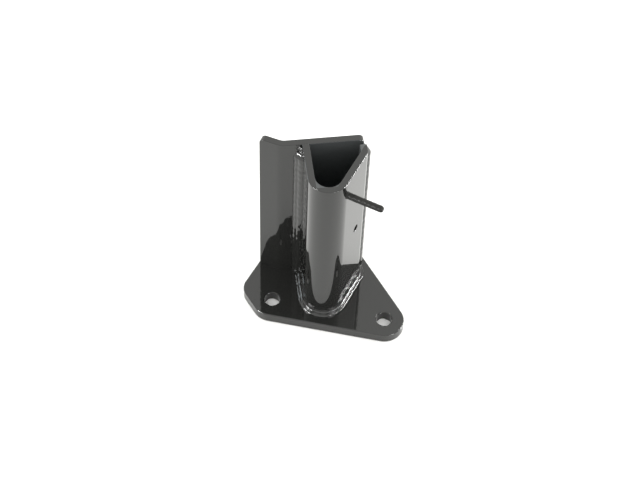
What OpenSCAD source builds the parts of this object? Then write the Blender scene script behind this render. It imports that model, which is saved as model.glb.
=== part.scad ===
// Bolt-down post socket: a folded channel and a back plate stand on a three-bolt base plate
// and form a deep pocket for the foot of a post. Everything is welded and painted.
//
// Frame: +Z up, z = 0 on the underside of the base plate. +X runs along the back plate, towards
// the slanted wall of the socket; +Y points from the socket's nose to the back plate.
// The origin is the middle (centroid) of the three bolt holes.
//
// The plan is drawn from one corner, where the left wall of the socket meets the front face of
// the back plate, and every node is moved to the origin by in_frame().

/* [Upright] */
// Height of the socket above the base plate
upright_h = 170; // [60:1:400]
// Thickness of the channel and of the back plate
wall_t = 6; // [3:0.5:10]
// Radius of the rounded top corners of the plates
corner_r = 4.5; // [2:0.5:10]

/* [Socket] */
// Outer width of the socket along the back plate
socket_w = 52.7; // [44:0.1:90]
// Outer depth of the socket, from its nose to the back plate
socket_depth = 52.4; // [42:0.1:90]
// Inside radius of the rounded nose
nose_ri = 11.2; // [6:0.1:14]
// Inside radius of the bend at the end of the slanted wall
bend_ri = 6; // [3:0.5:8]
// Straight end of the slanted wall, past its bend
end_len = 7.5; // [4:0.5:12]
// Root gap between the slanted wall's end and the back plate
root_gap = 2.5; // [1:0.1:4]

/* [Back plate] */
// How far the back plate's right end stays short of the socket's side
end_step = 1.4; // [0:0.1:3]
// Where the wing starts to bend, left of the socket's left wall
wing_start = 13; // [9:0.5:30]
// Angle that the wing bends back through
wing_angle = 29; // [10:1:40]
// Inside radius of the wing's bend
wing_ri = 10; // [8:0.5:16]
// How far the wing's end stays inside the edge of the base plate
wing_inset = 1; // [0.6:0.1:5]

/* [Base plate] */
// Thickness of the base plate
base_t = 10; // [5:0.5:20]
// Diameter of the bolt holes
bolt_d = 14; // [8:0.5:18]
// Radius of the base plate's corners, around each bolt hole
pad_r = 17.5; // [14:0.5:24]
// Left bolt hole, left of the socket's left wall
left_bolt_out = 27.7; // [24:0.1:60]
// Left bolt hole, in front of the back plate
left_bolt_fwd = 31.6; // [25:0.1:50]
// Right bolt hole, right of the socket's side
right_bolt_out = 15.2; // [10:0.1:50]
// Right bolt hole, in front of the socket's nose
right_bolt_fwd = 11.2; // [8:0.1:50]
// Rear bolt hole, behind the back plate
rear_bolt_back = 50.7; // [40:0.1:100]
// Rear bolt hole, left of the socket's right side
rear_bolt_in = 33.1; // [20:0.1:40]
// Radius of the left shoulder of the base plate
shoulder_r = 14; // [8:0.5:16]
// Left shoulder, left of the left bolt hole
shoulder_out = 9.9; // [6:0.1:20]
// Left shoulder, behind the left bolt hole
shoulder_back = 13.8; // [8:0.1:20]

/* [Side pin] */
// Diameter of the side pin
pin_d = 6; // [4:0.5:10]
// Length of the side pin outside the wall
pin_len = 32; // [15:1:60]
// Centre of the pin, below the top edge
pin_drop = 15; // [10:0.5:40]
// Centre of the pin, along the slanted wall from the nose
pin_along = 0.6; // [0:0.1:10]
// Length of the pin's tapered tip
pin_tip = 2; // [1:0.5:4]

/* [Wall hole] */
// Diameter of the hole through the slanted wall
wall_hole_d = 7; // [4:0.5:12]
// Height of the hole above the base plate
wall_hole_h = 86.5; // [30:0.5:140]
// Centre of the hole, along the slanted wall from the nose
wall_hole_along = 22.2; // [10:0.1:26]

/* [Welds] */
// Leg of the weld around the socket's foot
foot_leg = 5.5; // [3:0.5:8]
// Leg of the weld along the rear of the back plate's foot
rear_leg = 5; // [3:0.5:7]
// Leg of the upright weld in the left corner
seam_leg = 7.5; // [4:0.5:9]
// Start of the left upright weld, below the top edge
left_seam_drop = 9; // [6:0.5:30]
// Start of the right upright weld, below the top edge
right_seam_drop = 11; // [8:0.5:30]
// Width of the right upright weld on the slanted wall's end
bead_front = 5; // [3:0.5:7]
// Width of the right upright weld on the back plate's end
bead_back = 4; // [2:0.5:4.5]
// How far the right upright weld bulges, as a share of half its width
bead_bulge = 0.88; // [0.2:0.02:0.98]
// How deep the right upright weld reaches into the root gap
bead_root = 3; // [1:0.5:4]
// How far the fillet welds bulge past a straight face
weld_crown = 0.5; // [0.2:0.1:1]

/* [Hidden] */
$fn = 96;
// How far a cutter runs past the face that it cuts
over = 1;
// How far an arc stands proud of the flats that it joins, so that their faces cross cleanly
blend = 0.01;
// Straight pieces that the bend of the wing, and the foot weld around the small bend, are drawn with
bend_steps = 12;
// Straight pieces of the foot weld around the nose
nose_steps = 36;
// Larger than the part, for shapes that only bound others
far = 4 * max(socket_w, socket_depth);
// Straight pieces that a weld's rounded face is drawn with
face_steps = 6;

// One direction in plan
function dir(a) = [cos(a), sin(a)];
// The outward normal of the line that touches circles 1 and 2 on the right of the way from 1 to 2
function tangent_normal(c1, r1, c2, r2) =
    let (d = (c2 - c1) / norm(c2 - c1), k = (r1 - r2) / norm(c2 - c1))
    d * k + [d[1], -d[0]] * sqrt(1 - k * k);
// Points on the arc from p to q that bulges by sag to the right of the way from p to q
function arc_points(p, q, sag, steps) =
    let (half = norm(q - p) / 2, r = (half * half + sag * sag) / (2 * sag), d = (q - p) / (2 * half),
         out = [d[1], -d[0]], c = (p + q) / 2 + out * (sag - r), a = asin(half / r))
    [for (i = [0:steps]) let (t = a * (2 * i / steps - 1)) c + r * (d * sin(t) + out * cos(t))];
// Section of a fillet weld: x away from the upright plate, y up the plate, from x = back outwards
function fillet(leg, back = 0) =
    concat([[back, 0]], arc_points([leg, 0], [0, leg], weld_crown, face_steps),
           back == 0 ? [] : [[back, leg]]);
// Points on the arc about c from angle a0 to a1, each with its outward normal
function arc_frames(c, r, a0, a1, steps) =
    [for (i = [0:steps]) let (n = dir(a0 + (a1 - a0) * i / steps)) [c + r * n, n]];

top_z = base_t + upright_h;

// Socket: the nose and the bend are arcs, and the slanted wall touches both
nose_ro = nose_ri + wall_t;
bend_ro = bend_ri + wall_t;
nose_c = [nose_ro, nose_ro - socket_depth];
bend_c = [socket_w - bend_ro, -root_gap - end_len];
wall_n = tangent_normal(nose_c, nose_ro, bend_c, bend_ro);
wall_a = atan2(wall_n[1], wall_n[0]);
wall_start = nose_c + nose_ro * wall_n;
wall_end = bend_c + bend_ro * wall_n;
wall_u = (wall_end - wall_start) / norm(wall_end - wall_start);
side_end = [socket_w, -root_gap];
foot_frames = concat(
    [[[0, 0], [-1, 0]]],
    arc_frames(nose_c, nose_ro, 180, 360 + wall_a, nose_steps),
    arc_frames(bend_c, bend_ro, wall_a, 0, bend_steps),
    [[[socket_w, bead_back], [1, 0]]]);

// Base plate: four corner circles, named anticlockwise from the left bolt hole
left_bolt = [-left_bolt_out, -left_bolt_fwd];
right_bolt = [socket_w + right_bolt_out, -socket_depth - right_bolt_fwd];
rear_bolt = [socket_w - rear_bolt_in, wall_t + rear_bolt_back];
shoulder = left_bolt + [-shoulder_out, shoulder_back];
bolts = [left_bolt, right_bolt, rear_bolt];
corners = [[left_bolt, pad_r], [right_bolt, pad_r], [rear_bolt, pad_r], [shoulder, shoulder_r]];
bolt_middle = (left_bolt + right_bolt + rear_bolt) / 3;

// Back plate: it runs from its right end to the wing's bend, and the wing to the base's left edge
plate_end_x = socket_w - end_step;
wing_ro = wing_ri + wall_t;
wing_c = [-wing_start, wing_ro];
wing_a = 270 - wing_angle;
wing_u = dir(180 - wing_angle);
wing_n = -dir(wing_a);
function bend_points(r, a0, a1) =
    [for (i = [0:bend_steps]) wing_c + r * dir(a0 + (a1 - a0) * i / bend_steps)];
wing_p = wing_c + wing_ro * dir(wing_a);
bead_p = [socket_w, -root_gap - bead_front];
bead_q = [plate_end_x, bead_back];
edge_n = tangent_normal(rear_bolt, pad_r, shoulder, shoulder_r);
edge_at = edge_n * rear_bolt + pad_r;
wing_len = (edge_at - wing_inset - edge_n * wing_p) / (edge_n * wing_u);
wing_tip = wing_p + wing_len * wing_u;

// Side pin and wall hole, on the slanted wall
pin_p = wall_start + pin_along * wall_u;
pin_z = top_z - pin_drop;
hole_p = wall_start + wall_hole_along * wall_u;
hole_z = base_t + wall_hole_h;

// Moves what is drawn in plan to the part's origin
module in_frame() {
    translate([-bolt_middle[0], -bolt_middle[1], 0]) children();
}

// Carries a section from p to q: its x points to the right of the way, its y up
module straight_run(p, q) {
    way = q - p;
    translate([q[0], q[1], 0])
        rotate([90, 0, atan2(way[1], way[0]) - 90])
            linear_extrude(norm(way)) children();
}

// Plan of what the socket's outer faces enclose, moved in by inset and open to the rear
module socket_plan(inset) {
    polygon([[inset, far], [inset, nose_c[1]], wall_start - inset * wall_n,
             wall_end - inset * wall_n, [socket_w - inset, bend_c[1]], [socket_w - inset, far]]);
    translate(nose_c) circle(r = nose_ro - inset + blend);
    translate(bend_c) circle(r = bend_ro - inset + blend);
}

// Plan of the back plate, with its ends moved out by side and its front face moved out by front
module back_plan(side = 0, front = 0) {
    polygon(concat(
        [[plate_end_x + side, -front]],
        bend_points(wing_ro + front, 270, wing_a),
        [wing_tip - front * wing_n + side * wing_u, wing_tip + wall_t * wing_n + side * wing_u],
        bend_points(wing_ri, wing_a, 270),
        [[plate_end_x + side, wall_t]]));
}

// Removes the top corner of a plate that ends at p and runs up to it in direction a
module round_corner(p, a) {
    span = 4 * wall_t;
    translate([p[0], p[1], top_z])
        rotate([0, 0, a])
            difference() {
                translate([-corner_r, -span / 2, -corner_r])
                    cube([corner_r + over, span, corner_r + over]);
                translate([-corner_r, 0, -corner_r])
                    rotate([90, 0, 0]) cylinder(r = corner_r, h = span + over, center = true);
            }
}

// Turns what stands on the XY plane so that it stands out from the slanted wall at p
module out_of_wall(p, z) {
    translate([p[0], p[1], z]) rotate([0, 90, wall_a]) children();
}

// Weld around the foot of the socket: its section carried along foot_frames
module foot_run() {
    section = fillet(foot_leg);
    n = len(section);
    last = len(foot_frames) - 1;
    polyhedron(
        [for (f = foot_frames, q = section) let (p = f[0] + q[0] * f[1]) [p[0], p[1], base_t + q[1]]],
        concat(
            [[for (j = [0:n - 1]) j], [for (j = [n - 1:-1:0]) last * n + j]],
            [for (i = [0:last - 1], j = [0:n - 1]) let (k = (j + 1) % n)
                [i * n + k, i * n + j, (i + 1) * n + j, (i + 1) * n + k]]));
}

// Straight stretch of the foot weld, for the upright welds that stand on it
module foot_stretch(p, q) {
    translate([0, 0, base_t]) straight_run(p, q) polygon(fillet(foot_leg));
}

// Base plate with its three bolt holes
module base_plate() {
    color([0.17, 0.17, 0.165])
        in_frame()
            difference() {
                union() {
                    linear_extrude(base_t)
                        polygon([for (i = [0:3])
                            let (p = corners[i], q = corners[(i + 1) % 4],
                                 n = tangent_normal(p[0], p[1], q[0], q[1]))
                            each [p[0] + p[1] * n, q[0] + q[1] * n]]);
                    for (c = corners)
                        translate([c[0][0], c[0][1], 0]) cylinder(r = c[1] + blend, h = base_t);
                }
                for (b = bolts)
                    translate([b[0], b[1], -over]) cylinder(d = bolt_d, h = base_t + 2 * over);
            }
}

// Back plate with its wing bent towards the rear
module back_plate() {
    color([0.22, 0.22, 0.215])
        in_frame()
            difference() {
                translate([0, 0, base_t]) linear_extrude(upright_h) back_plan();
                round_corner([plate_end_x, wall_t / 2], 0);
                round_corner(wing_tip, 180 - wing_angle);
            }
}

// Folded channel: left wall, rounded nose, slanted wall and its straight end
module socket_channel() {
    color([0.28, 0.28, 0.275])
        in_frame()
            difference() {
                translate([0, 0, base_t])
                    linear_extrude(upright_h)
                        difference() {
                            socket_plan(0);
                            socket_plan(wall_t);
                            translate([-far, 0]) square(2 * far);
                            translate([bend_c[0], -root_gap]) square(far);
                        }
                round_corner(side_end - [wall_t / 2, 0], 90);
                out_of_wall(hole_p, hole_z)
                    translate([0, 0, -wall_t - over]) cylinder(d = wall_hole_d, h = wall_t + 2 * over);
            }
}

// Side pin: its root is cut square and stands on the slanted wall, and its tip is tapered
module side_pin() {
    color([0.14, 0.14, 0.14])
        in_frame()
            out_of_wall(pin_p, pin_z) {
                cylinder(d = pin_d, h = pin_len - pin_tip);
                translate([0, 0, pin_len - pin_tip])
                    cylinder(d1 = pin_d, d2 = pin_d - pin_tip, h = pin_tip);
            }
}

// Upright weld in the corner of the left wall and the back plate
module seam_weld_left() {
    color([0.12, 0.12, 0.12])
        in_frame()
            difference() {
                translate([0, 0, base_t])
                    rotate([0, 0, 180])
                        linear_extrude(upright_h - left_seam_drop) polygon(fillet(seam_leg));
                translate([0, 0, top_z - left_seam_drop])
                    rotate([0, 0, 45])
                        rotate([0, 45, 0])
                            translate([-4 * seam_leg, -2 * seam_leg, 0])
                                cube([4 * seam_leg, 4 * seam_leg, 4 * seam_leg]);
                foot_stretch([0, 0], [0, nose_c[1]]);
            }
}

// Upright weld over the root gap at the socket's right side
module seam_weld_right() {
    color([0.16, 0.16, 0.16])
        in_frame()
            difference() {
                translate([0, 0, base_t])
                    linear_extrude(upright_h - right_seam_drop)
                        polygon(concat(
                            arc_points(bead_p, bead_q, bead_bulge * norm(bead_q - bead_p) / 2,
                                       2 * face_steps),
                            [[plate_end_x, 0], [plate_end_x - bead_root, 0],
                             [plate_end_x - bead_root, -root_gap], side_end]));
                foot_stretch([socket_w, bend_c[1]], [socket_w, bead_back]);
            }
}

// Weld around the socket's foot
module foot_weld() {
    color([0.12, 0.12, 0.12])
        in_frame() foot_run();
}

// Weld along the rear of the back plate's foot
module rear_foot_weld() {
    color([0.12, 0.12, 0.12])
        in_frame()
            difference() {
                translate([0, 0, base_t]) {
                    straight_run([plate_end_x, wall_t], [-wing_start - wing_ri, wall_t])
                        polygon(fillet(rear_leg, -over));
                    straight_run(wing_p + wall_t * wing_n - wing_ri * wing_u, wing_tip + wall_t * wing_n)
                        polygon(fillet(rear_leg, -over));
                }
                translate([0, 0, base_t - over])
                    linear_extrude(rear_leg + 3 * over) back_plan(over, wing_ro);
            }
}

base_plate();
back_plate();
socket_channel();
side_pin();
seam_weld_left();
seam_weld_right();
foot_weld();
rear_foot_weld();
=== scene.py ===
"""Looks of a bolt-down post socket: bent steel plate, weld beads and gloss black enamel.

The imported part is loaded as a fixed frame. Every plate, bead and the pin is rebuilt as a finished surface in
the same place and of the same size, with rounded cut edges, bent walls of true thickness and rippled welds.

Sizes in the dataclasses are millimetres, unless a class says otherwise. Meshes are made in metres, in the
frame of the part: +Z up, z = 0 on the underside of the base plate, and the origin at the middle of the three
bolt holes.
"""

import logging
import math
from dataclasses import dataclass, field
from enum import Enum
from functools import cached_property
from typing import Protocol

import bpy
import numpy as np
from mathutils import Matrix, Vector
from mathutils.geometry import delaunay_2d_cdt


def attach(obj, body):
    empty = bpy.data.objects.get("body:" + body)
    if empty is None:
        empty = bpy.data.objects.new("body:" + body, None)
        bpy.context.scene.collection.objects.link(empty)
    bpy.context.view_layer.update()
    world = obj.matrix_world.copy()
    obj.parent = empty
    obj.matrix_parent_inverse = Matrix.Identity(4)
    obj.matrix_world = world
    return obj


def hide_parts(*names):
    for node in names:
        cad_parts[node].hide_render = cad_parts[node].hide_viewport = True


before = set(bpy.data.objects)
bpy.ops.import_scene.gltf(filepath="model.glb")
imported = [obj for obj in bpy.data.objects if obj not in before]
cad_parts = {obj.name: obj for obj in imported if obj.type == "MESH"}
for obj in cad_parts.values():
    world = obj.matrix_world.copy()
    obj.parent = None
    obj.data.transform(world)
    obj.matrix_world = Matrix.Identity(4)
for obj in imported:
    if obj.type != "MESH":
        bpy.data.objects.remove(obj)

LOG = logging.getLogger("post_socket")
MM = 0.001
BODY = "root"
Array = np.ndarray


# ---- Plane geometry ----


def direction(degrees: Array | float) -> Array:
    """Unit vectors at the given angles, as an array whose last axis is x, y.

    Args:
        degrees: One angle or an array of angles from +X, anticlockwise.

    Returns:
        (cos, sin) of each angle.
    """
    a = np.radians(degrees)
    return np.stack([np.cos(a), np.sin(a)], axis=-1)


def tangent_normal(c1: Array, r1: float, c2: Array, r2: float) -> Array:
    """Outward normal of the line that touches two circles, on the right of the way between them.

    With d the unit vector between the centres, L their distance and k = (r1 - r2) / L, it is
    k times d plus sqrt(1 - k squared) times d turned right.

    Args:
        c1: First centre.
        r1: First radius.
        c2: Second centre.
        r2: Second radius.

    Returns:
        The unit normal.
    """
    gap = np.asarray(c2, float) - np.asarray(c1, float)
    length = float(np.hypot(*gap))
    d = gap / length
    k = (r1 - r2) / length
    return d * k + np.array([d[1], -d[0]]) * math.sqrt(1 - k * k)


def smooth_step(t: Array) -> Array:
    """3 t squared minus 2 t cubed, with t held between 0 and 1."""
    t = np.clip(t, 0.0, 1.0)
    return t * t * (3 - 2 * t)


def wander(s: Array, seed: int, wavelengths: tuple[float, ...]) -> Array:
    """A smooth random line: the mean of sines of the given wavelengths, each with its own random phase.

    Args:
        s: Where along the line.
        seed: Seed of the phases.
        wavelengths: One wavelength for each sine.

    Returns:
        Values between -1 and 1, the shape of s.
    """
    phases = np.random.default_rng(seed).uniform(0, 2 * math.pi, len(wavelengths))
    waves = [np.sin(2 * math.pi * s / w + p) for w, p in zip(wavelengths, phases)]
    return sum(waves) / len(wavelengths)


@dataclass(frozen=True)
class Circle:
    """A circle in a flat pattern."""

    x: float
    y: float
    r: float

    @property
    def centre(self) -> Array:
        """The centre as an array."""
        return np.array([self.x, self.y])


@dataclass(frozen=True)
class Outline:
    """A convex outline with round corners: the belt around a few circles, anticlockwise."""

    circles: tuple[Circle, ...]
    corner_steps: int = 16
    edge_step: float = 4.0

    def ring(self, inset: float) -> Array:
        """Points of the outline moved inwards by inset.

        Each corner is the circle's arc between the normals of the two edges that touch it, its radius less by
        inset, and each edge is cut into equal lengths. The number of points doesn't depend on inset.

        Args:
            inset: How far inwards.

        Returns:
            An array of N points.
        """
        n = len(self.circles)
        pairs = [(self.circles[i], self.circles[(i + 1) % n]) for i in range(n)]
        normals = [tangent_normal(a.centre, a.r, b.centre, b.r) for a, b in pairs]
        angles = [math.degrees(math.atan2(v[1], v[0])) for v in normals]
        runs = []
        for i, (here, there) in enumerate(pairs):
            start, end = angles[i - 1], angles[i]
            end += 360 if end < start else 0
            arc = here.centre + (here.r - inset) * direction(np.linspace(start, end, self.corner_steps + 1))
            leave = arc[-1]
            arrive = there.centre + (there.r - inset) * normals[i]
            whole = np.hypot(*(there.centre + there.r * normals[i] - here.centre - here.r * normals[i]))
            cuts = max(1, math.ceil(whole / self.edge_step))
            t = np.linspace(0, 1, cuts + 1)[1:-1, None]
            runs += [arc, leave + (arrive - leave) * t]
        return np.concatenate(runs)


@dataclass(frozen=True)
class Hole:
    """A round hole, drawn clockwise so that its wall faces into it."""

    circle: Circle
    steps: int = 64
    sharpness: float = 0.4

    def ring(self, inset: float) -> Array:
        """Points of the hole's edge moved into the plate by a share of inset: a drilled edge is sharper."""
        turn = np.linspace(0, -360, self.steps, endpoint=False)
        return self.circle.centre + (self.circle.r + self.sharpness * inset) * direction(turn)

    def holds(self, points: Array) -> Array:
        """Whether each point lies inside the hole."""
        return np.hypot(*(points - self.circle.centre).T) < self.circle.r


@dataclass(frozen=True)
class Stretch:
    """A straight length of a folded path, or an arc that turns left about a centre."""

    length: float
    radius: float = 0.0


@dataclass(frozen=True)
class FoldedPath:
    """The plan of a folded plate: its outer face, which lies on the right of the way along it."""

    start: tuple[float, float]
    heading: float
    stretches: tuple[Stretch, ...]

    @property
    def length(self) -> float:
        """Length of the outer face."""
        return sum(s.length for s in self.stretches)

    def at(self, s: Array, depth: Array | float) -> tuple[Array, Array]:
        """Plan points at length s along the outer face and depth under it, and the outward normals there.

        On a straight stretch the point moves along the heading. On an arc of radius R the heading turns by
        s / R, and the point is the centre plus (R - depth) times the outward normal.

        Args:
            s: Lengths along the outer face. Past the ends the first and last stretch run on.
            depth: Distance under the outer face.

        Returns:
            Points and normals, each with x, y on the last axis.
        """
        s = np.asarray(s, float)
        depth = np.broadcast_to(np.asarray(depth, float), s.shape)
        points = np.zeros(s.shape + (2,))
        normals = np.zeros(s.shape + (2,))
        here = np.array(self.start, float)
        heading = self.heading
        done = 0.0
        for i, part in enumerate(self.stretches):
            first, last = i == 0, i == len(self.stretches) - 1
            mask = ((s >= done) | first) & ((s < done + part.length) | last)
            local = s[mask] - done
            if part.radius:
                centre = here + part.radius * direction(heading + 90)
                out = direction(heading - 90 + np.degrees(local / part.radius))
                points[mask] = centre + (part.radius - depth[mask])[..., None] * out
                turn = math.degrees(part.length / part.radius)
                here = centre + part.radius * direction(heading - 90 + turn)
                heading += turn
            else:
                out = np.broadcast_to(direction(heading - 90), local.shape + (2,))
                points[mask] = here + local[..., None] * direction(heading) - depth[mask][..., None] * out
                here = here + part.length * direction(heading)
            normals[mask] = out
            done += part.length
        return points, normals


# ---- Meshes ----


@dataclass
class Surface:
    """Vertices in millimetres and the faces between them."""

    points: Array
    faces: list[Array] = field(default_factory=list)
    normals: Array | None = None

    def volume(self) -> float:
        """Signed volume: the sum over the triangles of each face's fan of a . (b x c) / 6.

        Returns:
            Cubic millimetres, negative where the faces point inwards.
        """
        total = 0.0
        for block in self.faces:
            for k in range(1, block.shape[1] - 1):
                a, b, c = (self.points[block[:, j]] for j in (0, k, k + 1))
                total += float(np.einsum("ij,ij->i", a, np.cross(b, c)).sum()) / 6
        return total

    def turned_out(self) -> "Surface":
        """The same surface with its faces pointing outwards."""
        turned = [block[:, ::-1] for block in self.faces]
        return Surface(self.points, turned, self.normals) if self.volume() < 0 else self

    def to_object(self, name: str) -> bpy.types.Object:
        """Makes the Blender object, in metres and smooth-shaded, at the origin.

        Args:
            name: The object's name.

        Returns:
            The linked object.
        """
        mesh = bpy.data.meshes.new(name)
        faces = [face for block in self.faces for face in block.tolist()]
        mesh.from_pydata((self.points * MM).tolist(), [], faces)
        mesh.polygons.foreach_set("use_smooth", np.ones(len(mesh.polygons), bool))
        mesh.update()
        if self.normals is not None:
            mesh.normals_split_custom_set_from_vertices(self.normals.tolist())
        obj = bpy.data.objects.new(name, mesh)
        bpy.context.scene.collection.objects.link(obj)
        return obj


def belt_faces(first: int, rows: int, columns: int) -> Array:
    """Quads between consecutive closed rings of a grid.

    Args:
        first: Index of the grid's first vertex.
        rows: Number of rings.
        columns: Vertices in each ring.

    Returns:
        One row of four indices for each quad.
    """
    i, j = np.meshgrid(np.arange(rows - 1), np.arange(columns), indexing="ij")
    k = (j + 1) % columns
    here, there = i * columns, (i + 1) * columns
    quads = np.stack([here + j, there + j, there + k, here + k], axis=-1)
    return first + quads.reshape(-1, 4)


def capped_tube(rings: Array) -> Surface:
    """A closed tube through rings of points, each end closed by a fan around its middle.

    Args:
        rings: Array of rings by points by x, y, z, each ring closed on itself.

    Returns:
        The closed surface, facing outwards.
    """
    rows, columns, _ = rings.shape
    middles = rings[[0, -1]].mean(axis=1)
    points = np.concatenate([rings.reshape(-1, 3), middles])
    j = np.arange(columns)
    k = (j + 1) % columns
    last = (rows - 1) * columns
    start_fan = np.stack([j, k, np.full(columns, rows * columns)], axis=-1)
    end_fan = np.stack([last + k, last + j, np.full(columns, rows * columns + 1)], axis=-1)
    return Surface(points, [belt_faces(0, rows, columns), start_fan, end_fan]).turned_out()


@dataclass(frozen=True)
class EdgeRound:
    """How the cut edge of a plate is rounded by deburring and paint."""

    radius: float = 0.65
    flat: float = 0.4
    steps: int = 6

    def profile(self, thickness: float) -> Array:
        """Inset, depth and normal of each ring around the plate, from its front face to its rear face.

        A quarter circle leads from the front face to the cut side, the side is straight, and a second quarter
        circle leads to the rear face. The normal is given by its parts away from the plate and to the front.

        Args:
            thickness: The plate's thickness.

        Returns:
            Rows of (inset, depth, outwards, to the front).
        """
        a = np.linspace(0, math.pi / 2, self.steps + 1)
        inset = self.radius * (1 - np.sin(a))
        depth = self.radius * (1 - np.cos(a))
        front = np.stack([inset, depth, np.sin(a), np.cos(a)], axis=-1)
        rear = np.stack([inset, thickness - depth, np.sin(a), -np.cos(a)], axis=-1)[::-1]
        lead = self.radius + self.flat
        first, last = [lead, 0.0, 0.0, 1.0], [lead, thickness, 0.0, -1.0]
        side = [0.0, thickness / 2, 1.0, 0.0]
        return np.concatenate([[first], front, [side], rear, [last]])


class Fold(Protocol):
    """Carries a plate's flat pattern to its place."""

    def place(self, flat: Array, depth: Array) -> Array:
        """Points of the part under the given pattern points, that deep below the front face."""

    def turn(self, flat: Array, vectors: Array) -> Array:
        """Directions given along the pattern's two axes and its front normal, as directions of the part."""


@dataclass(frozen=True)
class LevelFold:
    """A flat plate that lies level, its front face up."""

    top: float

    def place(self, flat: Array, depth: Array) -> Array:
        """See Fold."""
        return np.column_stack([flat, self.top - depth])

    def turn(self, flat: Array, vectors: Array) -> Array:
        """See Fold."""
        return vectors


@dataclass(frozen=True)
class UprightFold:
    """A plate that stands on edge along a folded path. Its pattern is (length along the path, height)."""

    path: FoldedPath

    def place(self, flat: Array, depth: Array) -> Array:
        """See Fold."""
        plan, _ = self.path.at(flat[:, 0], depth)
        return np.column_stack([plan, flat[:, 1]])

    def turn(self, flat: Array, vectors: Array) -> Array:
        """Directions of the flat pattern turned with the plate.

        Args:
            flat: The pattern points that they belong to.
            vectors: Their parts along the path, up, and out of the front face.

        Returns:
            Directions in the frame of the part.
        """
        _, out = self.path.at(flat[:, 0], 0.0)
        way = np.column_stack([-out[:, 1], out[:, 0]])
        plan = vectors[:, :1] * way + vectors[:, 2:] * out
        return np.column_stack([plan, vectors[:, 1]])


@dataclass(frozen=True)
class CutPlate:
    """A plate cut from sheet: outline, holes and thickness, folded by a map from the flat pattern."""

    outline: Outline
    holes: tuple[Hole, ...]
    thickness: float
    edge: EdgeRound = EdgeRound()
    same_point: float = 1e-6
    least_turn: float = 1e-9

    def surface(self, fold: Fold, inner: Array | None = None) -> Surface:
        """The plate's surface.

        Every edge loop is a belt of rings, one for each row of the edge's profile. The two faces are
        triangulated once, in the flat pattern, between the innermost rings and through any inner points.

        Args:
            fold: Carries the flat pattern to its place.
            inner: Extra points of the faces, for faces that are folded.

        Returns:
            The surface, facing outwards. It is closed apart from the rims of its holes: see face_triangles.
        """
        profile = self.edge.profile(self.thickness)
        loops = [self.outline, *self.holes]
        flat, depth, normals, faces, first_rings, last_rings = [], [], [], [], [], []
        count = 0
        for loop in loops:
            rings = np.stack([loop.ring(inset) for inset in profile[:, 0]])
            rows, columns, _ = rings.shape
            flat.append(rings.reshape(-1, 2))
            depth.append(np.repeat(profile[:, 1], columns))
            away = loop.ring(0.0) - loop.ring(1.0)
            away /= np.hypot(*away.T)[:, None]
            side = (profile[:, 2, None, None] * away).reshape(-1, 2)
            normals.append(np.column_stack([side, np.repeat(profile[:, 3], columns)]))
            faces.append(belt_faces(count, rows, columns))
            first_rings.append(count + np.arange(columns))
            last_rings.append(count + (rows - 1) * columns + np.arange(columns))
            count += rows * columns
        extra = np.zeros((0, 2)) if inner is None else inner
        for level, front_part in ((0.0, 1.0), (self.thickness, -1.0)):
            flat.append(extra)
            depth.append(np.full(len(extra), level))
            normals.append(np.tile([0.0, 0.0, front_part], (len(extra), 1)))
        flat_all = np.concatenate(flat)
        front = np.concatenate(first_rings + [count + np.arange(len(extra))])
        rear = np.concatenate(last_rings + [count + len(extra) + np.arange(len(extra))])
        triangles = self.face_triangles(flat_all[front], [len(r) for r in first_rings])
        faces += [front[triangles], rear[triangles][:, ::-1]]
        turned = fold.turn(flat_all, np.concatenate(normals))
        return Surface(fold.place(flat_all, np.concatenate(depth)), faces, turned).turned_out()

    def face_triangles(self, points: Array, loop_sizes: list[int]) -> Array:
        """Triangles of a face: a Delaunay mesh held to the loops, less those with their middle in a hole.

        A hole's innermost ring is wider than the hole, and thin triangles whose middle lies between the two
        stay across its rim.

        Args:
            points: Points of all the loops in order, then the inner points.
            loop_sizes: Number of points in each loop.

        Returns:
            Rows of three indices into points, anticlockwise.
        """
        edges, count = [], 0
        for size in loop_sizes:
            j = np.arange(size)
            edges.append(np.stack([count + j, count + (j + 1) % size], axis=-1))
            count += size
        vectors = [Vector(p) for p in points.tolist()]
        out = delaunay_2d_cdt(vectors, np.concatenate(edges).tolist(), [], 0, self.same_point, True)
        origin = np.array([ids[0] for ids in out[3]])
        triangles = origin[np.array(out[2])]
        middle = points[triangles].mean(axis=1)
        inside = np.ones(len(triangles), bool)
        for hole in self.holes:
            inside &= ~hole.holds(middle)
        a, b, c = (points[triangles[:, k]] for k in range(3))
        turn = (b - a)[:, 0] * (c - a)[:, 1] - (b - a)[:, 1] * (c - a)[:, 0]
        triangles[turn < 0] = triangles[turn < 0][:, ::-1]
        return triangles[inside & (np.abs(turn) > self.least_turn)]


def face_grid(columns: Array, low: float, high: float, step: float, holes: tuple[Hole, ...]) -> Array:
    """Points inside a plate's faces, on the given columns and evenly up them, clear of the holes.

    Args:
        columns: Where the columns stand.
        low: Lowest row.
        high: Highest row.
        step: Largest distance between rows.
        holes: Holes to stay clear of.

    Returns:
        An array of points.
    """
    clear = 2.0
    rows = np.linspace(low, high, math.ceil((high - low) / step) + 1)
    grid = np.stack(np.meshgrid(columns, rows, indexing="ij"), axis=-1).reshape(-1, 2)
    for hole in holes:
        wide = Hole(Circle(hole.circle.x, hole.circle.y, hole.circle.r + clear))
        grid = grid[~wide.holds(grid)]
    return grid


# ---- Layout of the part ----


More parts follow.
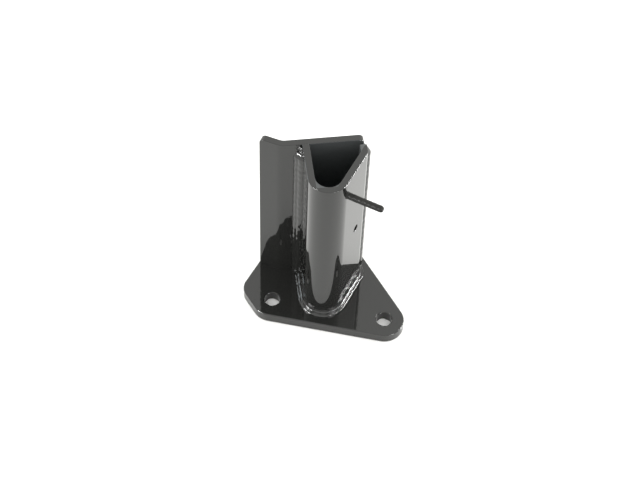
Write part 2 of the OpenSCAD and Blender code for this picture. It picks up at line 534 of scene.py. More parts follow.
@dataclass(frozen=True)
class Layout:
    """Sizes shared by the pieces, in plan. They repeat the driving sizes of the CAD part.

    Plan x is 0 on the outer face of the channel's left wall, and plan y is 0 on the front face of the back
    plate. The frame of the part is the plan moved so that the middle of the three bolt holes is the origin.
    """

    base: float = 10.0
    wall: float = 6.0
    height: float = 170.0
    socket_width: float = 52.7
    socket_depth: float = 52.4
    nose: float = 17.2
    bend: float = 12.0
    end_length: float = 7.5
    root_gap: float = 2.5
    end_step: float = 1.4
    wing_start: float = 13.0
    wing_angle: float = 29.0
    wing_bend: float = 16.0
    wing_inset: float = 1.0
    pad: float = 17.5
    shoulder_radius: float = 14.0
    left_bolt: tuple[float, float] = (-27.7, -31.6)
    right_bolt: tuple[float, float] = (67.9, -63.6)
    rear_bolt: tuple[float, float] = (19.6, 56.7)
    shoulder: tuple[float, float] = (-37.6, -17.8)

    @property
    def top(self) -> float:
        """Height of the upright plates' top edges."""
        return self.base + self.height

    @cached_property
    def origin(self) -> Array:
        """The middle of the bolt holes, in plan."""
        return np.mean([self.left_bolt, self.right_bolt, self.rear_bolt], axis=0)

    def at(self, x: float, y: float) -> Array:
        """A plan point in the frame of the part."""
        return np.array([x, y]) - self.origin

    def corner(self, centre: tuple[float, float], radius: float) -> Circle:
        """A corner circle in the frame of the part."""
        return Circle(*self.at(*centre).tolist(), radius)

    @cached_property
    def nose_centre(self) -> Array:
        """Centre of the rounded nose."""
        return self.at(self.nose, self.nose - self.socket_depth)

    @cached_property
    def bend_centre(self) -> Array:
        """Centre of the bend at the end of the slanted wall."""
        return self.at(self.socket_width - self.bend, -self.root_gap - self.end_length)

    @cached_property
    def slant(self) -> Array:
        """Outward normal of the slanted wall."""
        return tangent_normal(self.nose_centre, self.nose, self.bend_centre, self.bend)

    @cached_property
    def slant_start(self) -> Array:
        """Where the slanted wall's outer face leaves the nose."""
        return self.nose_centre + self.nose * self.slant

    @cached_property
    def slant_length(self) -> float:
        """Length of the slanted wall between its two bends."""
        return float(np.hypot(*(self.bend_centre + self.bend * self.slant - self.slant_start)))

    @cached_property
    def slant_way(self) -> Array:
        """Direction along the slanted wall, away from the nose."""
        return np.array([-self.slant[1], self.slant[0]])

    @cached_property
    def channel_path(self) -> FoldedPath:
        """Outer face of the channel, from the back plate round the nose to the root gap."""
        slant = math.atan2(self.slant[1], self.slant[0])
        stretches = (
            Stretch(self.socket_depth - self.nose),
            Stretch(self.nose * (math.pi + slant), self.nose),
            Stretch(self.slant_length),
            Stretch(-self.bend * slant, self.bend),
            Stretch(self.end_length),
        )
        return FoldedPath(tuple(self.at(0, 0).tolist()), -90.0, stretches)

    @property
    def slant_begins(self) -> float:
        """Length along the channel's outer face where the slanted wall begins."""
        return sum(s.length for s in self.channel_path.stretches[:2])

    @cached_property
    def plate_path(self) -> FoldedPath:
        """Front face of the back plate, from the wing's end to the right end."""
        centre = self.at(-self.wing_start, self.wing_bend)
        facing = 270.0 - self.wing_angle
        wing_foot = centre + self.wing_bend * direction(facing)
        way = direction(180.0 - self.wing_angle)
        rear, shoulder = self.at(*self.rear_bolt), self.at(*self.shoulder)
        edge = tangent_normal(rear, self.pad, shoulder, self.shoulder_radius)
        reach = float(edge @ rear) + self.pad - self.wing_inset
        wing = (reach - float(edge @ wing_foot)) / float(edge @ way)
        stretches = (
            Stretch(wing),
            Stretch(self.wing_bend * math.radians(self.wing_angle), self.wing_bend),
            Stretch(self.socket_width - self.end_step + self.wing_start),
        )
        return FoldedPath(tuple((wing_foot + wing * way).tolist()), -self.wing_angle, stretches)


# ---- Weld beads ----


# Wavelengths of the slow changes along a weld
DRIFT_WAVES = (43.0, 19.0, 11.0)
LOBE_WAVES = (13.0, 7.0)
LAG_WAVES = (9.0, 5.3)
LEG_WAVES = ((37.0, 15.0, 6.5), (33.0, 14.0, 6.1))
SWAY_WAVES = (41.0, 17.0, 7.7)


@dataclass(frozen=True)
class Bead:
    """Face of a painted weld: its crown, the passes that it was laid in and their ripples.

    Each pass is a lobe between two grooves. A fillet also has two legs, one away from the one plate and one
    up the other, and a strip has none.
    """

    crown: float
    seed: int
    legs: tuple[float, float] = (0.0, 0.0)
    passes: int = 2
    lobe: float = 0.32
    lobe_change: float = 0.35
    groove_softness: float = 0.02
    groove_level: float = 0.14
    drift: float = 0.035
    ripple: float = 0.0
    pitch: float = 1.8
    bow: float = 1.5
    lag_change: float = 0.5
    toe_fade: float = 4.0
    waver: float = 0.22
    buried: float = 0.7
    across: int = 42

    def relief(self, s: Array, f: Array) -> Array:
        """Height of the passes and ripples above the crowned face.

        With f from 0 at one toe to 1 at the other, each pass is a half sine, and the ripples are half sines
        along the weld that lag behind towards the toes, as crescents do.

        Args:
            s: Lengths along the weld, as a column.
            f: Places across the face, as a row.

        Returns:
            Heights, one row for each length.
        """
        window = np.sin(math.pi * f)
        drift = self.drift * wander(s, self.seed, DRIFT_WAVES) * window
        half_sine = np.sqrt(np.sin(math.pi * self.passes * (f + drift)) ** 2 + self.groove_softness)
        change = 1 + self.lobe_change * wander(s, self.seed + 1, LOBE_WAVES)
        lobes = self.lobe * (half_sine - self.groove_level) * change
        lag = self.bow * (2 * (self.passes * f % 1.0) - 1) ** 2
        uneven = self.lag_change * wander(s, self.seed + 2, LAG_WAVES)
        crescents = self.ripple * np.abs(np.sin(math.pi * (s + lag + uneven) / self.pitch)) * window
        return lobes * np.minimum(1, self.toe_fade * window) + crescents

    def fillet(self, s: Array, size: Array | float = 1.0) -> Array:
        """Closed sections of a fillet weld: u away from the one plate, v up the other.

        Args:
            s: Lengths along the weld.
            size: Size of each section, 1 for full.

        Returns:
            Array of sections by points by (u, v).
        """
        s = s[:, None]
        size = np.broadcast_to(np.asarray(size, float), s[:, 0].shape)[:, None]
        f = np.linspace(0, 1, self.across + 1)[None, :]
        leg_u, leg_v = (
            size * (leg + self.waver * wander(s, self.seed + 3 + k, LEG_WAVES[k]))
            for k, leg in enumerate(self.legs)
        )
        out = np.stack(np.broadcast_arrays(leg_v, leg_u), axis=-1)
        out = out / np.linalg.norm(out, axis=-1, keepdims=True)
        line = np.stack([leg_u * (1 - f), leg_v * f], axis=-1)
        height = self.crown * 4 * f * (1 - f) + self.relief(s, f)
        face = line + out * (size * height)[..., None]
        deep = np.full(leg_u.shape, -self.buried)
        ends = [np.stack([u, v], axis=-1) for u, v in ((leg_u, deep), (deep, leg_v), (deep, deep))]
        return np.concatenate([ends[0], face, ends[1], ends[2]], axis=1)

    def strip(self, s: Array, a: Array, b: Array, root: Array, size: Array) -> Array:
        """Closed sections of a weld that bridges a gap between the toes a and b.

        The face is a circle's arc through both toes that bulges by the crown.

        Args:
            s: Lengths along the weld.
            a: First toe.
            b: Second toe. The face bulges to the right of the way from a to b.
            root: Hidden points of the section, on the way back from b to a.
            size: Height of the face in each section, 1 for full.

        Returns:
            Array of sections by points by plan x, y.
        """
        s = s[:, None]
        f = (0.5 - 0.5 * np.cos(np.linspace(0, math.pi, self.across + 1)))[None, :]
        half = float(np.hypot(*(b - a))) / 2
        way = (b - a) / (2 * half)
        out = np.array([way[1], -way[0]])
        radius = (half**2 + self.crown**2) / (2 * self.crown)
        arc = np.sqrt(radius**2 - (half * (2 * f - 1)) ** 2) - (radius - self.crown)
        sway = self.waver * wander(s, self.seed + 3, SWAY_WAVES) * np.cos(math.pi * f)
        line = a + (b - a) * f[..., None] + sway[..., None] * way
        face = line + out * (size[:, None] * (arc + self.relief(s, f)))[..., None]
        back = np.broadcast_to(root, (len(s), *root.shape))
        return np.concatenate([face, back], axis=1)


# ---- Pieces ----


class Slot(Enum):
    """Material slots of the record."""

    PLATE = "plate_enamel"
    PIN = "pin_enamel"
    WELD = "weld_enamel"


@dataclass(frozen=True)
class Piece:
    """A finished piece, the CAD node that it stands for and its slot."""

    node: str
    slot: Slot
    surface: Surface

    def show(self, material: bpy.types.Material) -> bpy.types.Object:
        """Makes the object, gives it its material and ties it to the frame.

        Args:
            material: The finish of its slot.

        Returns:
            The object.
        """
        obj = self.surface.to_object(f"{self.node}_finished")
        obj.data.materials.append(material)
        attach(obj, BODY)
        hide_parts(self.node)
        return obj


@dataclass(frozen=True)
class BasePlate:
    """The base plate with its three bolt holes."""

    layout: Layout
    bolt_hole: float = 14.0
    edge: EdgeRound = EdgeRound(radius=0.9)
    corner_steps: int = 40

    def piece(self) -> Piece:
        """Makes the plate: a belt around a pad at each bolt hole and the shoulder.

        Returns:
            The piece.
        """
        at = self.layout
        bolts = (at.left_bolt, at.right_bolt, at.rear_bolt)
        pads = [at.corner(bolt, at.pad) for bolt in bolts]
        shoulder = at.corner(at.shoulder, at.shoulder_radius)
        outline = Outline((*pads, shoulder), corner_steps=self.corner_steps)
        holes = tuple(Hole(at.corner(bolt, self.bolt_hole / 2)) for bolt in bolts)
        plate = CutPlate(outline, holes, at.base, self.edge)
        return Piece("base_plate", Slot.PLATE, plate.surface(LevelFold(at.base)))


@dataclass(frozen=True)
class UprightPlates:
    """The folded channel and the back plate, which are cut from the same sheet."""

    layout: Layout
    corner: float = 4.5
    square_corner: float = 1.3
    lap: float = 0.8
    fine: float = 0.6
    row_step: float = 6.0
    foot_margin: float = 1.2
    top_margin: float = 1.8
    wall_hole: float = 7.0
    wall_hole_height: float = 96.5
    wall_hole_along: float = 22.2

    def pattern(self, start: float, end: float, start_corner: float) -> Outline:
        """Flat pattern of an upright plate, from below the base plate's top to the top edge.

        Args:
            start: Where it starts along its path.
            end: Where it ends.
            start_corner: Radius of its top corner at the start.

        Returns:
            The outline.
        """
        low, high = self.layout.base - self.lap, self.layout.top
        small = self.square_corner
        return Outline((
            Circle(start + small, low + small, small),
            Circle(end - small, low + small, small),
            Circle(end - self.corner, high - self.corner, self.corner),
            Circle(start + start_corner, high - start_corner, start_corner),
        ), edge_step=self.fine)

    def folded(self, node: str, path: FoldedPath, outline: Outline, holes: tuple[Hole, ...] = ()) -> Piece:
        """Makes a plate, with columns of points through its bends so that its faces follow them.

        Args:
            node: The CAD node that it stands for.
            path: Plan of its front face.
            outline: Its flat pattern.
            holes: Holes through it.

        Returns:
            The piece.
        """
        columns, done = [], 0.0
        for stretch in path.stretches:
            if stretch.radius:
                count = math.ceil(stretch.length / self.fine)
                columns.append(np.linspace(done, done + stretch.length, count))
            done += stretch.length
        low, high = self.layout.base + self.foot_margin, self.layout.top - self.top_margin
        inner = face_grid(np.concatenate(columns), low, high, self.row_step, holes)
        plate = CutPlate(outline, holes, self.layout.wall)
        return Piece(node, Slot.PLATE, plate.surface(UprightFold(path), inner))

    def pieces(self) -> list[Piece]:
        """Makes both plates.

        Returns:
            The channel and the back plate.
        """
        at = self.layout
        channel, plate = at.channel_path, at.plate_path
        hole_along = at.slant_begins + self.wall_hole_along
        hole = Hole(Circle(hole_along, self.wall_hole_height, self.wall_hole / 2))
        channel_pattern = self.pattern(-self.lap, channel.length, self.square_corner)
        plate_pattern = self.pattern(0.0, plate.length, self.corner)
        return [
            self.folded("socket_channel", channel, channel_pattern, (hole,)),
            self.folded("back_plate", plate, plate_pattern),
        ]


@dataclass(frozen=True)
class SidePin:
    """The round pin that stands out from the slanted wall.

    The rings of its worn tip lie tip_back behind the end, as shares of the tip's length, and tip_drop inside
    the pin's radius, in tapers. Its paint is lumpy: the lumps wander along it and swing around it.
    """

    layout: Layout
    radius: float = 3.0
    length: float = 32.0
    drop: float = 15.0
    along: float = 0.6
    buried: float = 1.0
    taper: float = 1.0
    tip: float = 2.0
    tip_back: tuple[float, ...] = (0.86, 0.6, 0.3, 0.1, 0.02, 0.0, 0.0)
    tip_drop: tuple[float, ...] = (0.1, 0.32, 0.66, 0.92, 1.12, 1.4, 2.0)
    lump: float = 0.09
    lump_change: float = 0.8
    lump_stretch: float = 0.7
    lump_swing: float = 3.0
    lump_turn: float = 0.4
    length_waves: tuple[float, ...] = (7.1, 4.3, 2.9)
    swing_waves: tuple[float, ...] = (5.2, 3.1)
    meniscus: float = 0.35
    meniscus_reach: float = 0.4
    rings: int = 60
    steps: int = 72
    seed: int = 31

    def carry(self, angle: Array, out: Array, radius: Array) -> Array:
        """Points around the pin's axis: the root plus out along the axis and the radius along the spoke.

        Args:
            angle: Angle around the axis, from the way along the wall towards up.
            out: Distance out of the wall.
            radius: Distance from the axis.

        Returns:
            Points in the frame of the part.
        """
        at = self.layout
        root = np.array([*(at.slant_start + self.along * at.slant_way), at.top - self.drop])
        across = np.array([*at.slant_way, 0.0])
        axis = np.array([*at.slant, 0.0])
        spoke = np.cos(angle)[..., None] * across + np.sin(angle)[..., None] * np.array([0.0, 0.0, 1.0])
        return root + out[..., None] * axis + radius[..., None] * spoke

    def piece(self) -> Piece:
        """Makes the pin: its paint is lumpy and flares a little at the root, and its tip tapers.

        Returns:
            The piece.
        """
        shaft = np.linspace(-self.buried, self.length - self.tip, self.rings)
        nose = self.length - self.tip * np.array(self.tip_back)
        drop = self.taper * np.array(self.tip_drop)
        out = np.concatenate([shaft, nose])[:, None]
        radius = np.concatenate([np.full(shaft.shape, self.radius), self.radius - drop])[:, None]
        angle = np.linspace(0, 2 * math.pi, self.steps, endpoint=False)[None, :]
        swing = out * self.lump_stretch + self.lump_swing * np.sin(angle + self.lump_turn)
        lumps = wander(out, self.seed, self.length_waves) + wander(swing, self.seed + 1, self.swing_waves)
        radius = radius - self.lump * (1 + self.lump_change * lumps) * smooth_step(out)
        radius = radius + self.meniscus * np.exp(-np.clip(out, 0, None) / self.meniscus_reach)
        surface = capped_tube(self.carry(*np.broadcast_arrays(angle, out, radius)))
        return Piece("side_pin", Slot.PIN, surface)


def hump(z: Array, centre: float, half: float, power: int) -> Array:
    """A hump of height 1 about the centre: e to the minus ((z - centre) / half) to an even power."""
    return np.exp(-(((z - centre) / half) ** power))


@dataclass(frozen=True)
class Welds:
    """The four long weld runs.

    The left seam stops left_drop below the top edges, and the lump where it was started stands above its end,
    with a dimple in it. The right seam's section runs from toe to toe over the root gap, and its root reaches
    into the gap. Drops are heights below the top edges.
    """

    layout: Layout
    step: float = 0.3
    run_out: float = 5.0
    smallest: float = 0.02
    foot_start: float = -0.5
    foot_lap: float = 4.0
    foot_end_size: float = 0.6
    rear_inset: float = 0.6
    rear_end_size: float = 0.35
    left_drop: float = 8.4
    left_rounding: float = 0.3
    lump_clear: float = 2.6
    lump: float = 0.6
    lump_drop: float = 4.6
    lump_half: float = 1.7
    dimple: float = 0.16
    dimple_drop: float = 4.4
    dimple_half: float = 0.8
    right_drop: float = 8.0
    front_toe: float = 5.0
    rear_toe: float = 4.0
    toe_depth: float = 0.1
    skin: float = 0.6
    root_reach: float = 3.0
    root_lap: float = 0.3

    def stations(self, start: float, end: float) -> Array:
        """Evenly spaced lengths from start to end."""
        return np.linspace(start, end, math.ceil((end - start) / self.step) + 1)

    def ends(self, s: Array, smallest: float) -> Array:
        """Size of the sections: full, and rounding off to the smallest at both ends.

        Towards an end it falls as the square root of 1 - q squared, with q from 0 where the run-out begins
        to 1 at the end.

        Args:
            s: Lengths along the weld.
            smallest: Size at both ends.

        Returns:
            One size for each length.
        """
        near = np.minimum(s - s[0], s[-1] - s)
        q = 1 - np.clip(near / self.run_out, 0, 1)
        return smallest + (1 - smallest) * np.sqrt(1 - q * q)

    def upright(self, plan: Array, z: Array) -> Surface:
        """The surface of a run that stands upright, from its sections in plan and the height of each."""
        heights = np.broadcast_to(z[:, None, None], (*plan.shape[:2], 1))
        return capped_tube(np.concatenate([plan, heights], axis=-1))

    def along(self, path: FoldedPath, s: Array, sections: Array, depth: float, side: float) -> Surface:
        """Carries fillet sections along a plate that stands on the base plate.

        Args:
            path: The plate's path.
            s: Length of each section along it.
            sections: Sections by points by (away from the plate, up it).
            depth: Depth of the welded face under the path.
            side: -1 for a weld in front of the plate, 1 for one behind it.

        Returns:
            The weld's surface.
        """
        lengths = np.broadcast_to(s[:, None], sections.shape[:2])
        plan, _ = path.at(lengths, depth + side * sections[..., 0])
        return capped_tube(np.concatenate([plan, (self.layout.base + sections[..., 1])[..., None]], axis=-1))

    def foot(self) -> Surface:
        """Weld around the foot of the channel, on to the back plate's end.

        Returns:
            Its surface.
        """
        path = self.layout.channel_path
        s = self.stations(self.foot_start, path.length + self.layout.root_gap + self.foot_lap)
        bead = Bead(0.1, 7, legs=(4.6, 5.0), lobe=0.95, ripple=0.06, waver=0.25)
        return self.along(path, s, bead.fillet(s, self.ends(s, self.foot_end_size)), 0.0, -1.0)

    def rear(self) -> Surface:
        """Weld along the rear of the back plate's foot.

        Returns:
            Its surface.
        """
        path = self.layout.plate_path
        s = self.stations(self.rear_inset, path.length - self.rear_inset)
        bead = Bead(0.4, 17, legs=(4.8, 4.8), ripple=0.09, pitch=2.1)
        return self.along(path, s, bead.fillet(s, self.ends(s, self.rear_end_size)), self.layout.wall, 1.0)

    def left_seam(self) -> Surface:
        """Upright weld in the left corner, with the lump where it was started above it.

        Returns:
            Its surface.
        """
        top = self.layout.top
        z = self.stations(self.layout.base, top - self.lump_clear)
        size = np.clip((top - self.left_drop - z) / self.run_out, self.smallest, 1) ** self.left_rounding
        lump = self.lump * hump(z, top - self.lump_drop, self.lump_half, 4)
        lump = lump - self.dimple * hump(z, top - self.dimple_drop, self.dimple_half, 2)
        bead = Bead(0.35, 27, legs=(7.0, 7.0), lobe=0.28, waver=0.06)
        sections = bead.fillet(z, np.maximum(size, lump))
        return self.upright(self.layout.at(0, 0) - sections, z)

    def right_seam(self) -> Surface:
        """Upright weld that bridges the root gap between the slanted wall's end and the back plate's end.

        Returns:
            Its surface.
        """
        at = self.layout
        z = self.stations(at.base, at.top - self.right_drop)
        right, end, gap = at.socket_width, at.socket_width - at.end_step, at.root_gap
        a = at.at(right - self.toe_depth, -gap - self.front_toe)
        b = at.at(end - self.toe_depth, self.rear_toe)
        root = np.array([
            at.at(end - self.skin, self.rear_toe),
            at.at(end - self.skin, self.root_lap),
            at.at(right - self.root_reach, self.root_lap),
            at.at(right - self.root_reach, -gap - self.root_lap),
            at.at(right - self.skin, -gap - self.root_lap),
            at.at(right - self.skin, -gap - self.front_toe),
        ])
        bead = Bead(5.0, 37, passes=1, lobe=0.0, ripple=0.02, pitch=2.4, waver=0.2)
        size = np.sqrt(np.clip((z[-1] - z) / self.run_out, self.smallest, 1))
        return self.upright(bead.strip(z, a, b, root, size), z)

    def pieces(self) -> list[Piece]:
        """Makes the four runs.

        Returns:
            One piece for each.
        """
        return [
            Piece("foot_weld", Slot.WELD, self.foot()),
            Piece("rear_foot_weld", Slot.WELD, self.rear()),
            Piece("seam_weld_left", Slot.WELD, self.left_seam()),
            Piece("seam_weld_right", Slot.WELD, self.right_seam()),
        ]


# ---- Finishes ----


@dataclass(frozen=True)
class GroupSocket:
    """A named socket of a node group."""

    name: str
    kind: str = "NodeSocketFloat"
    default: float | tuple | None = None


class NodeTree:
    """Adds nodes and links to a node tree."""

    def __init__(self, tree: bpy.types.NodeTree):
        """Wraps the tree."""
        self.tree = tree

    def add(self, kind: str, values: dict | None = None, links: dict | None = None) -> bpy.types.Node:
        """Adds a node.

        Args:
            kind: Its type.
            values: Properties of the node, or constants of its inputs by name or number.
            links: Sockets that feed its inputs, by name or number.

        Returns:
            The node.
        """
        node = self.tree.nodes.new(kind)
        inputs = {}
        for key, value in (values or {}).items():
            if isinstance(key, str) and hasattr(node, key):
                setattr(node, key, value)
            else:
                inputs[key] = value
        for key, value in inputs.items():
            node.inputs[key].default_value = value
        self.feed(node, links or {})
        return node

    def feed(self, node: bpy.types.Node, links: dict) -> None:
        """Links sockets to a node's inputs, by name or number."""
        for key, socket in links.items():
            self.tree.links.new(socket, node.inputs[key])

    def maths(self, operation: str, *terms: float | bpy.types.NodeSocket) -> bpy.types.NodeSocket:
        """Adds a math node.

        Args:
            operation: What it works out.
            terms: Its constants and sockets, in order.

        Returns:
            Its output.
        """
        values = {i: t for i, t in enumerate(terms) if isinstance(t, (int, float))}
        links = {i: t for i, t in enumerate(terms) if not isinstance(t, (int, float))}
        return self.add("ShaderNodeMath", {"operation": operation, **values}, links).outputs[0]


NewGroup = tuple[bpy.types.NodeTree, NodeTree, dict[str, bpy.types.NodeSocket], bpy.types.Node]


def new_group(name: str, inputs: tuple[GroupSocket, ...], outputs: tuple[GroupSocket, ...]) -> NewGroup:
    """Makes a shader node group with named sockets.

    Args:
        name: The group's name.
        inputs: Its inputs.
        outputs: Its outputs.

    Returns:
        The group, its NodeTree helper, its inputs' sockets by name, and its output node.
    """
    group = bpy.data.node_groups.new(name, "ShaderNodeTree")
    for way, sockets in (("INPUT", inputs), ("OUTPUT", outputs)):
        for socket in sockets:
            made = group.interface.new_socket(socket.name, in_out=way, socket_type=socket.kind)
            if socket.default is not None:
                made.default_value = socket.default
    tree = NodeTree(group)
    source = tree.add("NodeGroupInput")
    sink = tree.add("NodeGroupOutput")
    return group, tree, {s.name: source.outputs[s.name] for s in inputs}, sink


# Relief of the film: detail of the peel, reach of a nib in cells, and share of the cells without one
PEEL_DETAIL = 1.5
NIB_REACH = 0.28
NIB_RARITY = 0.8
RELIEFS = ("Peel", "Wave", "Nib")


def make_paint_film() -> bpy.types.NodeTree:
    """Relief of a thick enamel film: orange peel, long waves and sparse dust nibs, all sized in millimetres.

    Returns:
        The group, with a size and a depth for each relief and one output, the normal.
    """
    sizes = tuple(GroupSocket(f"{kind} {what}") for kind in RELIEFS for what in ("Size", "Depth"))
    normal = GroupSocket("Normal", "NodeSocketVector")
    group, tree, given, sink = new_group("paint_film", sizes, (normal,))
    place = tree.add("ShaderNodeTexCoord").outputs["Object"]

    def relief(kind: str, detail: float) -> bpy.types.NodeSocket:
        """Noise about zero, of the named size and depth.

        Args:
            kind: Peel or Wave.
            detail: Octaves of the noise.

        Returns:
            Its height.
        """
        scale = tree.maths("DIVIDE", 1 / MM, given[f"{kind} Size"])
        noise = tree.add("ShaderNodeTexNoise", {"Detail": detail}, {"Vector": place, "Scale": scale})
        level = tree.maths("SUBTRACT", noise.outputs["Fac"], 0.5)
        return tree.maths("MULTIPLY", level, given[f"{kind} Depth"])

    uneven = tree.maths("ADD", relief("Peel", PEEL_DETAIL), relief("Wave", 0.0))
    cell_scale = tree.maths("DIVIDE", 1 / MM, given["Nib Size"])
    cells = tree.add("ShaderNodeTexVoronoi", {"Randomness": 1.0}, {"Vector": place, "Scale": cell_scale})
    dome = tree.add("ShaderNodeMapRange", {
        "interpolation_type": "SMOOTHSTEP",
        "From Min": 0.0, "From Max": NIB_REACH, "To Min": 1.0, "To Max": 0.0,
    }, {"Value": cells.outputs["Distance"]}).outputs["Result"]
    cell = tree.add("ShaderNodeSeparateColor", links={"Color": cells.outputs["Color"]}).outputs[0]
    chosen = tree.maths("GREATER_THAN", cell, NIB_RARITY)
    nib = tree.maths("MULTIPLY", tree.maths("MULTIPLY", dome, chosen), given["Nib Depth"])
    height = tree.maths("ADD", uneven, nib)
    bump = tree.add("ShaderNodeBump", {"Strength": 1.0, "Distance": MM}, {"Height": height})
    tree.feed(sink, {"Normal": bump.outputs["Normal"]})
    return group


def make_socket_inside(layout: Layout) -> bpy.types.NodeTree:
    """Where a point lies inside the socket: 1 if it is behind each of the socket's inner faces, else 0.

    Args:
        layout: Sizes of the part.

    Returns:
        The group, with one output.
    """
    group, tree, _, sink = new_group("socket_inside", (), (GroupSocket("Inside"),))
    place = tree.add("ShaderNodeTexCoord").outputs["Object"]
    behind_face = 0.1
    skin = layout.wall - behind_face
    left, nose = layout.at(skin, skin - layout.socket_depth)
    rear = layout.at(0, behind_face)[1]
    slope = float(layout.slant @ layout.slant_start) - skin
    faces = (((1, 0), left), ((0, 1), nose), ((0, -1), -rear), ((-layout.slant[0], -layout.slant[1]), -slope))
    inside = None
    for (x, y), least in faces:
        along = tree.add("ShaderNodeVectorMath", {"operation": "DOT_PRODUCT", 1: (x, y, 0)}, {0: place})
        side = tree.maths("GREATER_THAN", along.outputs["Value"], float(least) * MM)
        inside = side if inside is None else tree.maths("MULTIPLY", inside, side)
    tree.feed(sink, {"Inside": inside})
    return group


# Enamel: detail of the gloss blotches, and how much rougher full dust makes it
BLOTCH_DETAIL = 5.0
DUST_ROUGHNESS = 0.5


def make_paint_tone(socket_inside: bpy.types.NodeTree) -> bpy.types.NodeTree:
    """Colour and gloss of the enamel: blotches of gloss, dust on faces that look up, and painted haze light in
    the socket:
    its shaded inside is painted a lighter grey, standing in for haze and bounced light, and made matt.

    Args:
        socket_inside: The group that masks the inside of the socket.

    Returns:
        The group.
    """
    group, tree, given, sink = new_group(
        "paint_tone",
        (
            GroupSocket("Paint", "NodeSocketColor"),
            GroupSocket("Dust", "NodeSocketColor", (0.2, 0.19, 0.17, 1)),
            GroupSocket("Dust Amount"),
            # Painted haze light: a lighter grey that stands in for haze and bounced light in the socket's
            # shaded inside
            GroupSocket("Painted Haze Light", "NodeSocketColor", (0.038, 0.042, 0.043, 1)),
            GroupSocket("Socket Inside Roughness", default=0.5),
            GroupSocket("Blotch Size", default=9.0),
            GroupSocket("Gloss Roughness"),
            GroupSocket("Blotch Roughness"),
        ),
        (GroupSocket("Base Color", "NodeSocketColor"), GroupSocket("Roughness")),
    )
    place = tree.add("ShaderNodeTexCoord").outputs["Object"]
    scale = tree.maths("DIVIDE", 1 / MM, given["Blotch Size"])
    noise = tree.add("ShaderNodeTexNoise", {"Detail": BLOTCH_DETAIL}, {"Vector": place, "Scale": scale})
    blotch = noise.outputs["Fac"]
    normal = tree.add("ShaderNodeNewGeometry").outputs["Normal"]
    up = tree.add("ShaderNodeSeparateXYZ", links={"Vector": normal})
    level = tree.maths("MAXIMUM", up.outputs["Z"], 0.0)
    amount = tree.maths("MULTIPLY", level, given["Dust Amount"])
    dusty = tree.maths("MULTIPLY", amount, tree.maths("MULTIPLY", blotch, 2.0))
    inside = tree.add("ShaderNodeGroup", {"node_tree": socket_inside}).outputs["Inside"]
    colour = given["Paint"]
    # The second mix is painted haze light: it lightens the socket's shaded inside
    for factor, coat in ((dusty, given["Dust"]), (inside, given["Painted Haze Light"])):
        mix = tree.add("ShaderNodeMix", {"data_type": "RGBA"}, {"Factor": factor, 6: colour, 7: coat})
        colour = mix.outputs[2]
    blotchy = tree.maths("MULTIPLY", blotch, given["Blotch Roughness"])
    rough = tree.maths("ADD", given["Gloss Roughness"], blotchy)
    rough = tree.maths("ADD", rough, tree.maths("MULTIPLY", dusty, DUST_ROUGHNESS))
    matt = tree.maths("MULTIPLY", inside, given["Socket Inside Roughness"])
    tree.feed(sink, {"Base Color": colour, "Roughness": tree.maths("MAXIMUM", rough, matt)})
    return group


@dataclass(frozen=True)
class Finish:
    """A gloss enamel. Each relief of its film is a size and a depth in millimetres."""

    slot: Slot
    paint: tuple[float, float, float] = (0.0105, 0.0108, 0.0102)
    peel: tuple[float, float] = (1.9, 0.012)
    wave: tuple[float, float] = (70.0, 0.006)
    nib: tuple[float, float] = (1.7, 0.035)
    roughness: tuple[float, float] = (0.03, 0.03)
    dust: float = 0.0
    specular: float = 0.5
    ior: float = 1.5

    def material(self, film: bpy.types.NodeTree, tone: bpy.types.NodeTree) -> bpy.types.Material:
        """Makes the material.

        Args:
            film: The paint_film group.
            tone: The paint_tone group.

        Returns:
            The material, named after its slot.
        """
        made = bpy.data.materials.new(self.slot.value)
        made.use_nodes = True
        made.node_tree.nodes.clear()
        tree = NodeTree(made.node_tree)
        relief = tree.add("ShaderNodeGroup", {"node_tree": film})
        for name, (size, depth) in zip(RELIEFS, (self.peel, self.wave, self.nib)):
            relief.inputs[f"{name} Size"].default_value = size
            relief.inputs[f"{name} Depth"].default_value = depth
        look = tree.add("ShaderNodeGroup", {"node_tree": tone})
        look.inputs["Paint"].default_value = (*self.paint, 1)
        look.inputs["Dust Amount"].default_value = self.dust
        gloss, blotch = self.roughness
        look.inputs["Gloss Roughness"].default_value = gloss
        look.inputs["Blotch Roughness"].default_value = blotch
        shader = tree.add("ShaderNodeBsdfPrincipled", {
            "IOR": self.ior, "Metallic": 0.0, "Specular IOR Level": self.specular,
        }, {
            "Base Color": look.outputs["Base Color"],
            "Roughness": look.outputs["Roughness"],
            "Normal": relief.outputs["Normal"],
        })
        tree.add("ShaderNodeOutputMaterial", links={"Surface": shader.outputs["BSDF"]})
        return made


FINISHES = (
    Finish(Slot.PLATE),
    Finish(Slot.WELD, peel=(1.6, 0.008), wave=(9.0, 0.02), nib=(1.8, 0.006)),
    Finish(
        Slot.PIN, peel=(1.1, 0.08), wave=(4.0, 0.1), nib=(1.3, 0.2), roughness=(0.22, 0.3), dust=0.02,
        specular=0.16,
    ),
)


# ---- Studio ----


@dataclass(frozen=True)
class Lamp:
    """A soft rectangular light: its way and distance from the part, size in metres and power in watts."""

    name: str
    towards: tuple[float, float, float]
    size: tuple[float, float]
    power: float
    distance: float = 1.5
    colour: tuple[float, float, float] = (1.0, 1.0, 1.0)


LAMPS = (
    Lamp("right_light", (0.96, -0.05, 0.24), (0.9, 0.2), 75.0),
    Lamp("front_light", (0.45, -0.75, 0.45), (0.5, 0.16), 18.0),
    Lamp("left_light", (-0.83, -0.3, 0.42), (0.6, 0.2), 40.0),
    Lamp("rear_left_light", (-0.8, 0.58, 0.14), (1.0, 0.3), 7.0, colour=(0.8, 0.93, 1.0)),
)


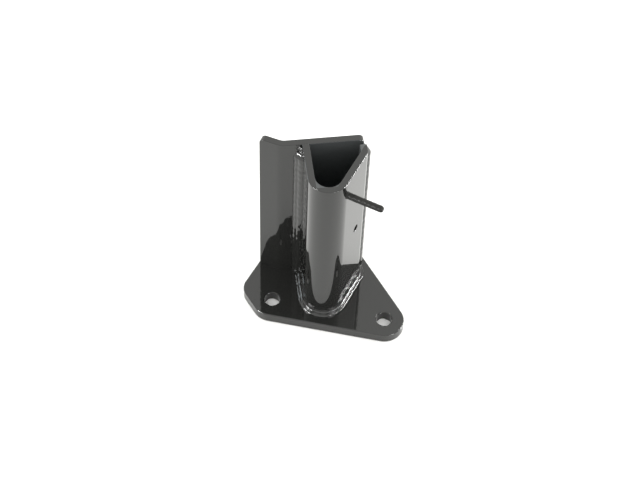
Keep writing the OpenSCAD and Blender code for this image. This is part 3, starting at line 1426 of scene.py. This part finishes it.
@dataclass(frozen=True)
class Studio:
    """Floor, even light all round, soft lamps, and the camera.

    Lengths are in metres, but for the camera's place, its aim, its lens and its sensor, in millimetres.
    """

    sky: float = 1.82
    sky_colour: tuple[float, float, float] = (1.0, 1.0, 0.975)
    floor_tone: float = 0.94
    floor_size: float = 12.0
    floor_drop: float = 0.0002
    target: tuple[float, float, float] = (0.02, -0.02, 0.02)
    lamps: tuple[Lamp, ...] = LAMPS
    camera_place: tuple[float, float, float] = (-132.433, -788.767, 1125.5)
    camera_aim: tuple[float, float, float] = (4.267, 49.833, -1.2)
    camera_roll: float = 2.54
    lens: float = 86.115
    sensor: float = 36.0

    def floor(self) -> None:
        """Makes the plain floor just under the base plate."""
        h, z = self.floor_size / 2, -self.floor_drop
        mesh = bpy.data.meshes.new("floor")
        mesh.from_pydata([(-h, -h, z), (h, -h, z), (h, h, z), (-h, h, z)], [], [(0, 1, 2, 3)])
        floor = bpy.data.objects.new("floor", mesh)
        bpy.context.scene.collection.objects.link(floor)
        made = bpy.data.materials.new("floor")
        made.use_nodes = True
        shader = made.node_tree.nodes["Principled BSDF"]
        shader.inputs["Base Color"].default_value = (self.floor_tone,) * 3 + (1,)
        shader.inputs["Roughness"].default_value = 1.0
        shader.inputs["Specular IOR Level"].default_value = 0.0
        mesh.materials.append(made)

    def sky_light(self) -> None:
        """Lights everything evenly from all round."""
        world = bpy.data.worlds.new("studio")
        world.use_nodes = True
        back = world.node_tree.nodes["Background"]
        back.inputs["Color"].default_value = (*self.sky_colour, 1)
        back.inputs["Strength"].default_value = self.sky
        bpy.context.scene.world = world

    def lamp(self, lamp: Lamp) -> None:
        """Adds a lamp that shows in the gloss and leaves the floor's even tone alone.

        Args:
            lamp: What it is.
        """
        light = bpy.data.lights.new(lamp.name, "AREA")
        light.shape = "RECTANGLE"
        light.size, light.size_y = lamp.size
        light.energy = lamp.power
        light.color = lamp.colour
        towards = Vector(lamp.towards).normalized()
        obj = bpy.data.objects.new(lamp.name, light)
        obj.location = Vector(self.target) + towards * lamp.distance
        obj.rotation_mode = "QUATERNION"
        obj.rotation_quaternion = (-towards).to_track_quat("-Z", "Y")
        obj.visible_diffuse = False
        bpy.context.scene.collection.objects.link(obj)

    def camera(self) -> None:
        """Makes the camera: it stands in front, a little to the left, and looks steeply down."""
        data = bpy.data.cameras.new("camera")
        data.sensor_width, data.lens = self.sensor, self.lens
        place = Vector(self.camera_place) * MM
        aim = Vector(self.camera_aim) * MM
        roll = math.radians(self.camera_roll)
        forward = (aim - place).normalized()
        right = forward.cross(Vector((0, 0, 1))).normalized()
        up = right.cross(forward)
        tilted_right = right * math.cos(roll) + up * math.sin(roll)
        tilted_up = up * math.cos(roll) - right * math.sin(roll)
        turn = Matrix((tilted_right, tilted_up, -forward)).transposed()
        camera = bpy.data.objects.new("camera", data)
        camera.matrix_world = Matrix.Translation(place) @ turn.to_4x4()
        bpy.context.scene.collection.objects.link(camera)
        bpy.context.scene.camera = camera

    def build(self) -> None:
        """Sets up the floor, lights, camera and view transform."""
        self.floor()
        self.sky_light()
        for lamp in self.lamps:
            self.lamp(lamp)
        self.camera()
        bpy.context.scene.view_settings.view_transform = "Standard"


# ---- Main ----


def main() -> None:
    """Builds the pieces, their finishes and the studio."""
    logging.basicConfig(level=logging.INFO, format="%(name)s: %(message)s")
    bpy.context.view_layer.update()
    layout = Layout()
    film, tone = make_paint_film(), make_paint_tone(make_socket_inside(layout))
    materials = {finish.slot: finish.material(film, tone) for finish in FINISHES}
    pieces = [
        BasePlate(layout).piece(),
        *UprightPlates(layout).pieces(),
        SidePin(layout).piece(),
        *Welds(layout).pieces(),
    ]
    for piece in pieces:
        obj = piece.show(materials[piece.slot])
        LOG.info("%s: %d vertices, %.0f mm3", obj.name, len(obj.data.vertices), piece.surface.volume())
    Studio().build()
    bpy.context.view_layer.update()


if __name__ == "__main__":
    main()
